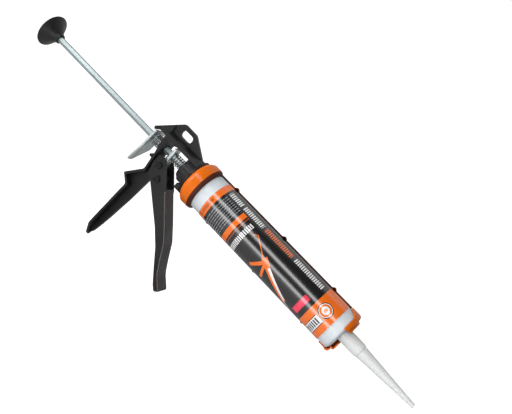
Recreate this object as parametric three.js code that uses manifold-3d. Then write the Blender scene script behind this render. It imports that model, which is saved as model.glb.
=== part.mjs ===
// A caulking gun with a swivelling half-shell cradle, loaded with a sealant cartridge and its nozzle.
// Millimetres, +X along the barrel towards the nozzle, +Z up with the handle below, the cradle open
// towards -Y. Every piece is drawn about the barrel's axis, with x = 0 just behind the barrel ring.
// The whole group is then moved so that its origin is at the middle of the underside of its box.
import * as THREE from 'three';
import * as BufferGeometryUtils from 'three/addons/utils/BufferGeometryUtils.js';
import Module from 'manifold-3d';

const wasm = await Module();
wasm.setup();

// ---- Driving dimensions ------------------------------------------------------------------------

const cartridgeRadius = 24.2; // over the printed label of a 310 ml cartridge
const ringRadius = 27.8;
const ringRear = 5.6;
const ringFront = 20.9;
const edgingFront = 25.6;
const cradleInnerRadius = cartridgeRadius + 0.4;
const cradleWall = 1.2;
const beadHeight = ringRadius - cradleInnerRadius - cradleWall;
const beadPositions = [48, 124, 200];
const cradleFront = 243.8;
const nozzleTip = 339;

const rodAcrossFlats = 7.4;
const rodCornerRadius = rodAcrossFlats / 2 / Math.cos(Math.PI / 6);
const rodBore = 4.9; // every round hole that the hexagonal rod slides through
const knobRear = -256.4;
const knobRadius = 21;

const bodyHalfWidth = 12.5; // rear flange and top rail
const webHalfWidth = 2.3; // hanging web and the middle plate of the handle
const gripBottom = -141.2;
const railUnderside = 13.3;
const railTop = 21;

const noseRear = -13.4;
const noseFront = 2.6;
const noseWallRadius = 12.8;
const collarRear = -10.7;
const collarFront = 2.4;
const collarRadius = 15.5;
const bushRadius = 11; // hollow steel bush that the barrel turns on
const guideBush = { inner: 4.7, outer: 6.2 }; // nylon bush that the rod slides in at the rear

const triggerHalfWidth = 11;
const triggerSheet = 2.2;
const pivotPin = { x: -25.6, z: -29 };
const thrustPin = { x: -34.3, z: -16 };
const pinRadius = 2.5;

const gap = 0.3; // between pieces that touch

const facetsAround = 40;
const cornerSteps = 3;

// ---- Materials ---------------------------------------------------------------------------------

const looks = {
  blackPaint: { color: 0x2b2b2d, roughness: 0.45, metalness: 0.1 },
  blackPlastic: { color: 0x1d1d1f, roughness: 0.5, metalness: 0 },
  orangePaint: { color: 0xe8650e, roughness: 0.35, metalness: 0.1 },
  zinc: { color: 0xb9c2c4, roughness: 0.3, metalness: 1 },
  steel: { color: 0x9a9da0, roughness: 0.35, metalness: 1 },
  rubber: { color: 0x18181a, roughness: 0.6, metalness: 0 },
  whitePlastic: { color: 0xe6ebec, roughness: 0.4, metalness: 0 },
  clearPlastic: { color: 0xe4e8e6, roughness: 0.3, metalness: 0 },
  label: { color: 0x26272b, roughness: 0.25, metalness: 0 },
};
const materials = {};
for (const [name, look] of Object.entries(looks)) {
  materials[name] = new THREE.MeshStandardMaterial(look);
}

// ---- Geometry helpers --------------------------------------------------------------------------

// A closed geometry as a manifold solid, its triangles turned to face out.
function solid(geometry) {
  const bare = geometry.clone();
  bare.deleteAttribute('normal');
  bare.deleteAttribute('uv');
  const merged = BufferGeometryUtils.mergeVertices(bare, 1e-3);
  const vertProperties = new Float32Array(merged.attributes.position.array);
  const triVerts = withoutSlivers(merged.index.array);
  if (signedVolume(vertProperties, triVerts) < 0) {
    triVerts.reverse();
  }
  return new wasm.Manifold(new wasm.Mesh({ numProp: 3, vertProperties, triVerts }));
}

function withoutSlivers(index) {
  const kept = [];
  for (let i = 0; i < index.length; i += 3) {
    const [a, b, c] = [index[i], index[i + 1], index[i + 2]];
    if (a !== b && b !== c && c !== a) {
      kept.push(a, b, c);
    }
  }
  return new Uint32Array(kept);
}

function signedVolume(positions, index) {
  const [a, b, c] = [new THREE.Vector3(), new THREE.Vector3(), new THREE.Vector3()];
  let total = 0;
  for (let i = 0; i < index.length; i += 3) {
    a.fromArray(positions, index[i] * 3);
    b.fromArray(positions, index[i + 1] * 3);
    c.fromArray(positions, index[i + 2] * 3);
    total += a.dot(b.cross(c)) / 6;
  }
  return total;
}

function geometryOf(manifold) {
  const mesh = manifold.getMesh();
  const geometry = new THREE.BufferGeometry();
  const positions = new Float32Array(mesh.numProp * mesh.numVert);
  positions.set(mesh.vertProperties.subarray(0, positions.length));
  geometry.setAttribute('position', new THREE.BufferAttribute(positions, 3));
  geometry.setIndex(new THREE.BufferAttribute(new Uint32Array(mesh.triVerts), 1));
  return geometry;
}

// A polygon with the given corner radii: each corner is [x, z] or [x, z, radius].
function outline(corners) {
  const points = corners.map(([x, z]) => new THREE.Vector2(x, z));
  const path = new THREE.Path();
  let started = false;
  const lineTo = (point) => {
    if (started) {
      path.lineTo(point.x, point.y);
    } else {
      path.moveTo(point.x, point.y);
      started = true;
    }
  };
  points.forEach((corner, i) => {
    const radius = corners[i][2] ?? 0;
    if (radius === 0) {
      lineTo(corner);
      return;
    }
    const before = points.at(i - 1).clone().sub(corner);
    const after = points[(i + 1) % points.length].clone().sub(corner);
    const room = 0.48 * Math.min(before.length(), after.length());
    const setback = Math.min(room, radius / Math.tan(before.angleTo(after) / 2));
    lineTo(before.setLength(setback).add(corner));
    const end = after.setLength(setback).add(corner);
    path.quadraticCurveTo(corner.x, corner.y, end.x, end.y);
  });
  return new THREE.Shape(path.getPoints(cornerSteps));
}

// A side outline in (x, z), extruded across the gun from yLow to yHigh.
function plate(shape, yLow, yHigh, curveSegments = 6) {
  const geometry = new THREE.ExtrudeGeometry(shape, {
    depth: yHigh - yLow,
    bevelEnabled: false,
    curveSegments,
  });
  geometry.rotateX(Math.PI / 2);
  geometry.translate(0, yHigh, 0);
  return solid(geometry);
}

// An end-view outline in (y, z), extruded along the barrel from xLow to xHigh.
function beam(shape, xLow, xHigh, curveSegments = 6) {
  const geometry = new THREE.ExtrudeGeometry(shape, {
    depth: xHigh - xLow,
    bevelEnabled: false,
    curveSegments,
  });
  geometry.rotateX(Math.PI / 2);
  geometry.rotateZ(Math.PI / 2);
  geometry.translate(xLow, 0, 0);
  return solid(geometry);
}

// A closed profile of [x, radius] points turned about the barrel's axis.
function turned(profile, segments = facetsAround) {
  const points = profile.map(([x, radius]) => new THREE.Vector2(radius, x));
  points.push(points[0].clone());
  const geometry = new THREE.LatheGeometry(points, segments);
  geometry.rotateZ(-Math.PI / 2);
  return solid(geometry);
}

// A tube along the barrel's axis.
function tube(xLow, xHigh, inner, outer, segments = facetsAround) {
  return turned([[xLow, inner], [xLow, outer], [xHigh, outer], [xHigh, inner]], segments);
}

// A cylinder across the gun, centred at (x, z).
function pinAcross(at, radius, yLow, yHigh, segments = 20) {
  const geometry = new THREE.CylinderGeometry(radius, radius, yHigh - yLow, segments);
  geometry.translate(at.x, (yLow + yHigh) / 2, at.z);
  return solid(geometry);
}

function box(xLow, xHigh, yLow, yHigh, zLow, zHigh) {
  const geometry = new THREE.BoxGeometry(xHigh - xLow, yHigh - yLow, zHigh - zLow);
  geometry.translate((xLow + xHigh) / 2, (yLow + yHigh) / 2, (zLow + zHigh) / 2);
  return solid(geometry);
}

// A flat outline in (x, y), extruded upwards.
function slab(corners, zLow, zHigh) {
  const geometry = new THREE.ExtrudeGeometry(outline(corners), { depth: zHigh - zLow, bevelEnabled: false });
  geometry.translate(0, 0, zLow);
  return solid(geometry);
}

// A hexagonal bar along the barrel's axis, with a corner towards -Y.
function hexBar(xLow, xHigh, cornerRadius) {
  const geometry = new THREE.CylinderGeometry(cornerRadius, cornerRadius, xHigh - xLow, 6);
  geometry.rotateZ(-Math.PI / 2);
  geometry.translate((xLow + xHigh) / 2, 0, 0);
  geometry.rotateX(Math.PI / 2);
  return solid(geometry);
}

// A closed piece of wire wound about the barrel's axis.
function coilSpring(xLow, xHigh, meanRadius, wireRadius, turns) {
  const stepsPerTurn = 10;
  const points = [];
  const steps = turns * stepsPerTurn;
  for (let i = 0; i <= steps; i += 1) {
    const angle = (2 * Math.PI * i) / stepsPerTurn;
    const x = THREE.MathUtils.lerp(xLow + wireRadius, xHigh - wireRadius, i / steps);
    points.push(new THREE.Vector3(x, meanRadius * Math.cos(angle), meanRadius * Math.sin(angle)));
  }
  const geometry = new THREE.ExtrudeGeometry(new THREE.Shape().absarc(0, 0, wireRadius, 0, 2 * Math.PI), {
    steps,
    curveSegments: 3,
    bevelEnabled: false,
    extrudePath: new THREE.CatmullRomCurve3(points),
  });
  return solid(geometry);
}

// ---- Group assembly ----------------------------------------------------------------------------

const gun = new THREE.Group();

function addPiece(name, manifold, material) {
  const mesh = new THREE.Mesh(geometryOf(manifold), material);
  mesh.name = name;
  gun.add(mesh);
}

// ---- Body casting: rail, rear flange, handle, nose wall and hanging web --------------------------

// The flange's rear line, from the top rail down to the toe of the handle.
const flangeLine = [
  [-51.5, 13], [-49.6, 0], [-47.7, -9], [-44.9, -31, 4], [-61, -51, 1.5], [-50.2, -59.8, 5],
  [-51.1, -71], [-52.6, -104], [-53.6, -124, 12], [-52.2, gripBottom - 3],
];

function gripOutline() {
  const toe = [
    [-52.2, -124], [-51, gripBottom + 2.5], [-48.6, -137, 3], [-46.6, -132.5, 4], [-44.8, -124, 8],
  ];
  const front = [[-42, -107], [-37.6, -72], [-34.8, -40, 5]];
  const boss = [[-31.5, -33.5], [-21, -35, 4], [-20, -22.5, 4], [-33, -22.2], [-44, -21.5]];
  return outline([...flangeLine.slice(2, -2), ...toe, ...front, ...boss]);
}

// The band that follows the flange's rear line, as thick as the flange's wall.
function flangeOutline() {
  const inner = [
    [-49.6, gripBottom - 3], [-50.8, -124, 12], [-49.8, -104], [-48.3, -71], [-47.3, -58.5, 4],
    [-57, -51, 1], [-42.1, -32.5, 3], [-44.9, -9], [-46.8, 0], [-48.6, 13],
  ];
  return outline([...flangeLine, ...inner]);
}

// The flange itself, which ends at the toe of the handle in a rounded tongue.
function rearFlange() {
  const reach = bodyHalfWidth + 5;
  const tongue = outline([
    [-bodyHalfWidth, 20], [bodyHalfWidth, 20], [bodyHalfWidth, -125.5, 9], [2.3, gripBottom, 3],
    [-2.3, gripBottom, 3], [-bodyHalfWidth, -125.5, 9],
  ]);
  return plate(flangeOutline(), -reach, reach).intersect(beam(tongue, -90, -30));
}

function hangingWeb() {
  const web = outline([
    [-73.2, 10.2, 0.8], [-45.4, 37.1, 3], [-27.2, 36.9, 5], [-2.2, 20.6], [noseFront, 20.6],
    [noseFront, 16.1], [-50, 14], [-52, 12.2], [-66.8, 12.2], [-67.1, 10.6], [-70.4, 7.2, 0.8],
  ]);
  const slot = outline([
    [-42.9, 32.2, 4.2], [-26.3, 32.2, 4.2], [-26.3, 23.6, 4.2], [-42.9, 23.6, 4.2],
  ]);
  const hood = outline([
    [-71.6, 9.9, 0.8], [-52.6, 28.2], [-51.2, 20], [-51.2, 12.2], [-66.8, 12.2], [-67.1, 10.6],
    [-70, 7.8, 0.8],
  ]);
  const thickHood = plate(hood, -5, 5);
  return plate(web, -webHalfWidth, webHalfWidth).add(thickHood).subtract(plate(slot, -9, 9));
}

function topRail() {
  const section = outline([
    [-bodyHalfWidth, railUnderside], [bodyHalfWidth, railUnderside], [bodyHalfWidth, railTop - 3, 0.8],
    [webHalfWidth, railTop], [-webHalfWidth, railTop], [-bodyHalfWidth, railTop - 3, 0.8],
  ]);
  const stop = outline([[-41, 14], [-35, 14], [-36.6, 10.2, 0.8], [-39.2, 10.2, 0.8]]);
  return beam(section, -51.5, noseFront).add(plate(stop, -4, 4));
}

// The round wall that the collar nut clamps, hung from the rail by a short gusset.
function noseWall() {
  const gusset = outline([[-9, 9], [9, 9], [9, 15], [-9, 15]]);
  const front = collarRear - gap;
  return tube(noseRear, front, rodBore + 0.4, noseWallRadius, 32).add(beam(gusset, noseRear, front));
}

function bodyCasting() {
  const rearBoss = outline([[-50.9, 16], [-42.5, 16, 2], [-44.6, 8], [-44.8, -6], [-48, -6]]);
  const catchNub = outline([[-47, -11], [-49.5, -11], [-54.6, -16, 0.8], [-53.6, -18, 0.8], [-45, -18]]);
  let casting = rearFlange();
  casting = casting.add(plate(gripOutline(), -webHalfWidth, webHalfWidth));
  casting = casting.add(plate(rearBoss, -bodyHalfWidth, bodyHalfWidth));
  casting = casting.add(plate(catchNub, -5, 5));
  casting = casting.add(topRail());
  casting = casting.add(hangingWeb());
  casting = casting.add(noseWall());
  casting = casting.add(pinAcross(pivotPin, 6.5, -6, 6));
  casting = casting.subtract(pinAcross(pivotPin, pinRadius + 0.05, -20, 20));
  casting = casting.subtract(tube(-56, -40, 0, guideBush.outer + gap));
  return casting.subtract(tube(collarRear - gap, 10, 0, collarRadius + gap));
}

// ---- Nose: collar, swivel bush and what holds the barrel on it -----------------------------------

function collarNut() {
  const grooves = 20;
  let collar = turned([
    [collarRear, bushRadius + gap], [collarRear, collarRadius - 1], [collarRear + 1, collarRadius],
    [collarFront - 0.8, collarRadius], [collarFront, collarRadius - 0.8], [collarFront, bushRadius + gap],
  ]);
  for (let i = 0; i < grooves; i += 1) {
    const angle = (2 * Math.PI * (i + 0.5)) / grooves;
    const groove = new THREE.BoxGeometry(10, 1.5, 1.8);
    groove.translate((collarRear + collarFront) / 2, 0, collarRadius);
    groove.rotateX(angle);
    collar = collar.subtract(solid(groove));
  }
  return collar;
}

const flangeRear = collarFront + gap;
const ringWall = 5;

// The thin plate that the barrel turns against, with the foot below it that stops the trigger.
function swivelFlange() {
  const foot = outline([[-6, -23, 2], [6, -23, 2], [6, -16.2], [-6, -16.2]]);
  return tube(flangeRear, ringRear - gap, 0, 23.4)
    .add(beam(foot, -6.5, ringRear - gap))
    .subtract(tube(flangeRear - 1, ringRear, 0, bushRadius + gap));
}

function swivelPieces() {
  const bore = bushRadius + gap;
  const washerRear = ringRear + ringWall + gap;
  const bush = tube(collarRear, washerRear + 4.4, rodBore + 0.3, bushRadius);
  addPiece('swivel_bush', bush, materials.steel);
  addPiece('collar_nut', collarNut(), materials.blackPlastic);
  addPiece('swivel_flange', swivelFlange(), materials.blackPaint);
  addPiece('swivel_washer', tube(washerRear, washerRear + 1.4, bore, 18), materials.zinc);
  addPiece('swivel_circlip', tube(washerRear + 1.7, washerRear + 3.2, bore, 14), materials.steel);
}

// ---- Barrel: ring, cradle shell and front plate ---------------------------------------------------

function barrelRing() {
  const bore = bushRadius + gap + 0.1;
  return turned([
    [ringRear, bore], [ringRear, 23], [ringRear + 2.5, 25.6], [ringRear + 6, ringRadius],
    [ringFront, ringRadius], [ringFront, cradleInnerRadius],
    [ringRear + ringWall, cradleInnerRadius], [ringRear + ringWall, bore],
  ]);
}

const shellStart = 11; // degrees round from +Z towards +Y, on the side away from the opening
const shellEnd = 172;
const edgingGap = 1.5; // degrees between the shell's long edges and the ends of the edging

// The wedge of a turned piece that lies between two directions round the barrel.
function sector(xLow, xHigh, fromDegrees, toDegrees) {
  const reach = 60;
  const steps = 6;
  const shape = new THREE.Shape();
  shape.moveTo(0, 0);
  for (let i = 0; i <= steps; i += 1) {
    const angle = THREE.MathUtils.degToRad(THREE.MathUtils.lerp(fromDegrees, toDegrees, i / steps));
    shape.lineTo(reach * Math.sin(angle), reach * Math.cos(angle));
  }
  shape.closePath();
  return beam(shape, xLow, xHigh);
}

// Black edging on the ring's front rim, round the part that the shell leaves open.
function ringEdging() {
  const inner = cradleInnerRadius - 0.2;
  const rear = ringFront + gap;
  return turned([
    [rear, inner], [rear, ringRadius - 0.3], [rear + 2.2, ringRadius - 0.7], [edgingFront, inner + 0.6],
    [edgingFront, inner],
  ]).intersect(sector(0, 300, shellEnd + edgingGap, 360 + shellStart - edgingGap));
}

// One side of the shell's sheet, from rear to front, with the beads pressed outwards.
function beadedLine(rear, front, radius) {
  const beadHalf = 3.4;
  const beadSteps = 4;
  const line = [[rear, radius]];
  for (const centre of beadPositions) {
    for (let i = 0; i <= beadSteps; i += 1) {
      const share = (i / beadSteps) * 2 - 1;
      const rise = beadHeight * Math.cos((share * Math.PI) / 2) ** 1.3;
      line.push([centre + beadHalf * share, radius + rise]);
    }
  }
  line.push([front, radius]);
  return line;
}

function cradleShell() {
  const rear = ringFront + gap;
  const front = 226.7;
  const outside = beadedLine(rear, front, cradleInnerRadius + cradleWall);
  const inside = beadedLine(rear, front, cradleInnerRadius).reverse();
  return turned([...outside, ...inside]).intersect(sector(0, 300, shellStart, shellEnd));
}

const slotHalfWidth = 10.3;

function frontPlate() {
  const wall = 1.5;
  const outer = 26.3;
  const boss = 20;
  const face = 240.9;
  const cup = turned([
    [227, outer - wall], [227, outer], [237.8, outer], [240.1, outer - 1.2], [face, outer - 3.6],
    [face, boss + 0.8], [cradleFront - 0.8, boss], [cradleFront, boss - 1], [cradleFront, 0],
    [cradleFront - wall, 0], [cradleFront - wall, boss - wall], [face - wall, boss - wall + 0.4],
    [face - wall, outer - 4], [237, outer - wall],
  ]);
  const slot = outline([
    [-40, -slotHalfWidth], [0, -slotHalfWidth], [0, slotHalfWidth], [-40, slotHalfWidth],
  ]);
  const earRear = 235.4;
  const upperNear = slab([[220, 0], [227, 0], [earRear, -11.5], [earRear, -40], [220, -40]], 0, 40);
  const lowerNear = box(220, earRear, -40, 0, -40, 0).add(box(220, 260, -40, -4, -40, 0));
  return cup
    .subtract(beam(slot, 220, 260))
    .subtract(tube(220, 260, 0, slotHalfWidth, 32))
    .subtract(upperNear)
    .subtract(lowerNear);
}

// ---- Cartridge: tube, label, plunger and nozzle ---------------------------------------------------

const cartridgeRear = 12.4;
const labelRear = 39;
const labelFront = 224;
const tubeOuter = cartridgeRadius - 0.6;
const tubeInner = tubeOuter - 1.2;

function cartridgeTube() {
  return turned([
    [cartridgeRear, tubeInner], [cartridgeRear, tubeOuter], [234.6, tubeOuter], [236.6, 22.6],
    [237.8, 20.4], [238.6, 17.6], [238.8, 7.4], [258, 7.2], [258, 5.6], [237, 5.6], [236.6, tubeInner - 1.4],
    [234.6, tubeInner],
  ]);
}

function cartridgePlunger() {
  const outer = tubeInner - 0.5;
  return turned([
    [18.6, outer - 1.6], [18.6, outer], [29, outer], [31.5, outer - 3], [32.5, 0], [30.4, 0],
    [29.4, outer - 4.4], [27.4, outer - 1.6],
  ]);
}

function nozzle() {
  const baseRadius = 8.5;
  return turned([
    [239.2, 7.7], [239.2, baseRadius], [264.3, baseRadius], [264.6, 7.5], [nozzleTip, 2.4], [nozzleTip, 1.6],
    [266, 6.2], [258.6, 6.2], [258.6, 7.7],
  ], 32);
}

function cartridgePieces() {
  addPiece('cartridge_tube', cartridgeTube(), materials.whitePlastic);
  const label = tube(labelRear, labelFront, tubeOuter + gap, cartridgeRadius);
  addPiece('cartridge_label', label, materials.label);
  addPiece('cartridge_plunger', cartridgePlunger(), materials.whitePlastic);
  addPiece('nozzle', nozzle(), materials.clearPlastic);
}

// ---- Rod: hexagonal bar, pull knob and piston -----------------------------------------------------

const pistonRear = 16;

function pullKnob() {
  const bore = rodCornerRadius + gap;
  return turned([
    [knobRear, 0], [knobRear, knobRadius - 0.8], [knobRear + 0.7, knobRadius], [knobRear + 1.5, knobRadius],
    [knobRear + 5, 16.6], [knobRear + 9, 11.6], [knobRear + 13, 7.8], [knobRear + 15, 6.6], [-238.6, 6.1],
    [-238.6, bore], [knobRear + 4.3, bore], [knobRear + 4.3, 0],
  ], 40);
}

function rodPieces() {
  const discFront = pistonRear + 2;
  const shoulder = 12;
  addPiece('push_rod', hexBar(knobRear + 4.6, pistonRear - gap, rodCornerRadius)
    .add(tube(shoulder, discFront + 6.2, 0, 3, 16)), materials.zinc);
  addPiece('pull_knob', pullKnob(), materials.blackPlastic);
  addPiece('piston_disc', tube(pistonRear, discFront, 3.2, 21, 40), materials.zinc);
  addPiece('piston_washer', tube(discFront + gap, discFront + 1.5, 3.2, 8, 24), materials.zinc);
  const nut = hexBar(discFront + 1.8, discFront + 5.6, 5.8).subtract(tube(0, 40, 0, 3.2, 16));
  addPiece('piston_nut', nut, materials.zinc);
}

// ---- Trigger, thrust block and drive plate --------------------------------------------------------

const triggerFront = [
  [-33.8, -5.3, 3], [-26, -11.6, 6], [-7.6, -30.8], [4.4, -43.6], [18.6, -59, 30], [32.4, -74.6, 30],
  [42, -91.5], [51, -106, 30], [65.2, -119, 2],
];
const triggerRear = [
  [60.5, -124, 3], [54, -118.5], [40.8, -103], [27, -86, 30], [10.5, -69.8], [-11.6, -51.2], [-30.3, -36, 4],
  [-38.5, -33, 5], [-42.3, -18], [-42.3, -6, 3],
];

function triggerChannel() {
  const inner = triggerHalfWidth - triggerSheet;
  const cheeks = plate(outline([...triggerFront, ...triggerRear]), -triggerHalfWidth, triggerHalfWidth);
  const hollow = outline([
    [-50, 0], [-20, 0], [-8.4, -27], [-9, -32.6], [2.4, -45], [16.4, -60.4], [30.2, -76], [39.6, -92.6],
    [48.8, -107.4], [61, -118.6], [58, -130], [40, -122], [-50, -60],
  ]);
  return cheeks
    .subtract(plate(hollow, -inner, inner))
    .subtract(pinAcross(pivotPin, pinRadius + gap, -20, 20))
    .subtract(pinAcross(thrustPin, pinRadius + gap, -20, 20));
}

// A riveted pin: a shank with a dimpled head outside each cheek.
function rivetPin(at, shankRadius) {
  const headLow = triggerHalfWidth + gap;
  const headHigh = headLow + 1.6;
  const head = 4.2;
  const dimple = 2.2;
  const dimpleFloor = headHigh - 0.7;
  return pinAcross(at, shankRadius, -headHigh, headHigh)
    .add(pinAcross(at, head, headLow, headHigh))
    .add(pinAcross(at, head, -headHigh, -headLow))
    .subtract(pinAcross(at, dimple, dimpleFloor, headHigh + 1))
    .subtract(pinAcross(at, dimple, -headHigh - 1, -dimpleFloor));
}

function thrustBlock() {
  const nose = { x: -37.4, z: -9.6 };
  const noseRadius = 2.4;
  const arm = outline([
    [-39.7, -9.6], [-35.4, -10.4], [-36, -14], [-36.2, -18.2], [-38.4, -17.6], [-40.2, -12.4],
  ]);
  return plate(arm, -5, 5)
    .add(pinAcross(nose, noseRadius, -5, 5))
    .add(pinAcross(thrustPin, 3.3, -8.5, 8.5))
    .subtract(pinAcross(thrustPin, pinRadius, -20, 20));
}

function drivePlate() {
  const side = outline([[-34.6, 10.2], [-31.4, 10.2], [-31.4, -13.6], [-34.6, -10.4]]);
  return plate(side, -7, 7).subtract(tube(-40, -20, 0, rodBore));
}

function triggerPieces() {
  addPiece('trigger', triggerChannel(), materials.blackPaint);
  addPiece('trigger_pivot_pin', rivetPin(pivotPin, pinRadius - 0.05), materials.blackPaint);
  addPiece('thrust_pin', rivetPin(thrustPin, pinRadius - gap), materials.blackPaint);
  addPiece('thrust_block', thrustBlock(), materials.steel);
  for (const [name, side] of [['pivot_washer_near', -1], ['pivot_washer_far', 1]]) {
    const [low, high] = side < 0 ? [-8.5, -6.3] : [6.3, 8.5];
    const hole = pinAcross(pivotPin, pinRadius + gap, low - 1, high + 1);
    const washer = pinAcross(pivotPin, 5.5, low, high).subtract(hole);
    addPiece(name, washer, materials.zinc);
  }
  addPiece('drive_plate', drivePlate(), materials.zinc);
  addPiece('main_spring', coilSpring(-31.1, noseRear - gap, 5.9, 0.65, 5), materials.steel);
}

// ---- Release lever and its spring -----------------------------------------------------------------

function releaseLever() {
  const side = outline([
    [-64.8, 10.3], [-62.3, 10.3], [-64.4, -19, 12], [-70.8, -40], [-73.2, -39.3], [-66.9, -19, 12],
  ]);
  const front = outline([
    [-13, 10.3, 1.5], [13, 10.3, 1.5], [13, -18, 5], [4, -39.9, 2], [-4, -39.9, 2], [-13, -18, 5],
  ]);
  return plate(side, -20, 20)
    .intersect(beam(front, -90, -50))
    .subtract(tube(-90, -50, 0, rodBore + 0.6));
}

function releasePieces() {
  addPiece('release_lever', releaseLever(), materials.zinc);
  addPiece('lever_spring', coilSpring(-62.4, -52, 6.6, 0.6, 4), materials.steel);
  const guide = tube(-50, -44.4, guideBush.inner, guideBush.outer, 32);
  addPiece('rod_guide_bush', guide, materials.blackPlastic);
}

// ---- The whole gun --------------------------------------------------------------------------------

addPiece('body_casting', bodyCasting(), materials.blackPaint);
swivelPieces();
triggerPieces();
releasePieces();
rodPieces();
addPiece('barrel_ring', barrelRing(), materials.orangePaint);
addPiece('ring_edging', ringEdging(), materials.rubber);
addPiece('cradle_shell', cradleShell(), materials.orangePaint);
addPiece('cradle_front_plate', frontPlate(), materials.orangePaint);
cartridgePieces();

const bounds = new THREE.Box3().setFromObject(gun);
const middle = bounds.getCenter(new THREE.Vector3());
gun.position.set(-middle.x, -middle.y, -bounds.min.z);
const caulkingGun = new THREE.Group();
caulkingGun.add(gun);

export default caulkingGun;
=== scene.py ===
"""Looks of a caulking gun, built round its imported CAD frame. Metres, +X along the barrel, +Z up."""

import math

import bmesh
import bpy
from bpy.props import FloatProperty, FloatVectorProperty, IntProperty, PointerProperty
from mathutils import Euler, Matrix, Vector


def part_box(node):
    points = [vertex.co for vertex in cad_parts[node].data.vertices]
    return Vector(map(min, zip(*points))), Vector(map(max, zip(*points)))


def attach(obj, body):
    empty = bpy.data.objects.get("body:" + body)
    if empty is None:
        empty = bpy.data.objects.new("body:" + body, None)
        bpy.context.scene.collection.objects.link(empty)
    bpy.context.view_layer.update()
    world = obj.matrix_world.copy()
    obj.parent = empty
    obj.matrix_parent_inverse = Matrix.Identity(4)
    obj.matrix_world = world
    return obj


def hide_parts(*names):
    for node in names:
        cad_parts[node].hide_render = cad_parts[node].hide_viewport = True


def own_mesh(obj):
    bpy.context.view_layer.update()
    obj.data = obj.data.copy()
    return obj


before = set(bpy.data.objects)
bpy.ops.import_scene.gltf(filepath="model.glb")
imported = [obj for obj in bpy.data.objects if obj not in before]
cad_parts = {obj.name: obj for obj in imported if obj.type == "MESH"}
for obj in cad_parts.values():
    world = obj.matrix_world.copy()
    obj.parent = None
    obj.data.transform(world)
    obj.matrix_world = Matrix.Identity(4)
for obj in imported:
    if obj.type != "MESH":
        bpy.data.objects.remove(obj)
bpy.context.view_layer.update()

bl_info = {
    "name": "Caulking gun",
    "version": (1, 0, 0),
    "blender": (4, 5, 0),
    "location": "View3D > Sidebar > Caulking gun",
    "description": "Builds the finished pieces of a caulking gun round its CAD frame",
    "category": "Object",
}

MM = 0.001
TUBE_LOW, TUBE_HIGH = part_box("cartridge_tube")
LABEL_LOW, LABEL_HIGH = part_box("cartridge_label")
RING_LOW, RING_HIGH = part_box("barrel_ring")
AXIS_HEIGHT = (LABEL_LOW.z + LABEL_HIGH.z) / 2
LABEL_RADIUS = (LABEL_HIGH.z - LABEL_LOW.z) / 2


# ---- Sizes and colours that a user may change ------------------------------------------------------


def linear(hex_colour):
    """The linear red, green and blue of an sRGB hex colour."""
    channels = [int(hex_colour[i : i + 2], 16) / 255 for i in (1, 3, 5)]
    return tuple(c / 12.92 if c <= 0.04045 else ((c + 0.055) / 1.055) ** 2.4 for c in channels)


def colour(name, hex_colour, description):
    """A colour property whose default is an sRGB hex colour."""
    return FloatVectorProperty(
        name=name, description=description, subtype="COLOR", size=3, min=0, max=1, default=linear(hex_colour)
    )


def size(name, millimetres, description):
    """A length property whose default is given in millimetres."""
    return FloatProperty(name=name, description=description, unit="LENGTH", min=0, default=millimetres * MM)


def turn(name, degrees, description):
    """An angle property whose default is given in degrees."""
    return FloatProperty(name=name, description=description, unit="ROTATION", default=math.radians(degrees))


class GunColours(bpy.types.PropertyGroup):
    """Colours of the gun's finishes."""

    enamel: colour("Black enamel", "#101011", "Stoved enamel on the body casting and trigger")
    # Painted highlight: a lighter grey-brown laid on the trigger's folds in place of the shine that the
    # bends catch.
    fold_highlight: colour("Rubbed enamel", "#3E3630", "Enamel worn thin along the trigger's folds")
    nylon: colour("Black nylon", "#171719", "Moulded nylon of the pull knob and collar")
    # Painted shade: the edging's dark brown stands in for the shade inside the ring's open front.
    rim_shade: colour("Edging rubber", "#40190C", "Edging on the barrel ring's rim")
    powder: colour("Orange powder coat", "#D86600", "Powder coat on the cradle and its ring")
    blackened: colour("Blackened steel", "#2A2A2C", "Riveted pins of the trigger")
    # Painted shade: the dark brown on the cradle's cut edges stands in for the shade that the thin edge lies
    # in.
    edge_shade: colour("Cut edge", "#5A2A12", "Sheared long edge of the cradle's sheet")
    zinc: colour("Zinc plate", "#D6DEDE", "Plating on the piston, plates and lever")
    rod: colour("Rod", "#AEB9BA", "Plating on the drawn rod")
    spring: colour("Spring steel", "#A9ACAE", "Oiled wire of the springs")
    tube: colour("Cartridge", "#D2D9DD", "Polyethylene of the cartridge")
    nozzle: colour("Nozzle", "#EEF1EF", "Translucent polyethylene of the nozzle")
    ink_black: colour("Label black", "#0B0B0D", "Ground colour of the label")
    ink_orange: colour("Label orange", "#EA6A00", "Bands and picture on the label")
    ink_white: colour("Label white", "#E8E8E8", "Print on the label")
    ink_grey: colour("Label grey", "#8C8E92", "Small print on the label")
    ink_red: colour("Label red", "#E2304E", "Patch on the label")


class GunSizes(bpy.types.PropertyGroup):
    """Sizes of the details that the CAD pieces leave out."""

    casting_edge: size("Casting edge", 0.55, "Rounding of the body casting's edges")
    sheet_edge: size("Sheet edge", 0.35, "Rounding of the pressed sheet's edges")
    fold: size("Trigger fold", 2.0, "Radius of the bends along the trigger's front")
    fine_edge: size("Fine edge", 0.18, "Rounding of small turned pieces' edges")
    ring_edge: size("Ring edge", 0.8, "Rounding of the barrel ring's shoulders")
    rod_edge: size("Rod edge", 0.3, "Rounding of the hexagonal rod's corners")
    wire: size("Spring wire", 1.3, "Diameter of the main spring's wire")
    lever_wire: size("Lever spring wire", 1.2, "Diameter of the release spring's wire")
    coils: IntProperty(name="Main coils", description="Turns of the main spring", default=5, min=2, max=12)
    lever_coils: IntProperty(name="Lever coils", description="Turns of the lever's spring", default=4, min=2)


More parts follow.
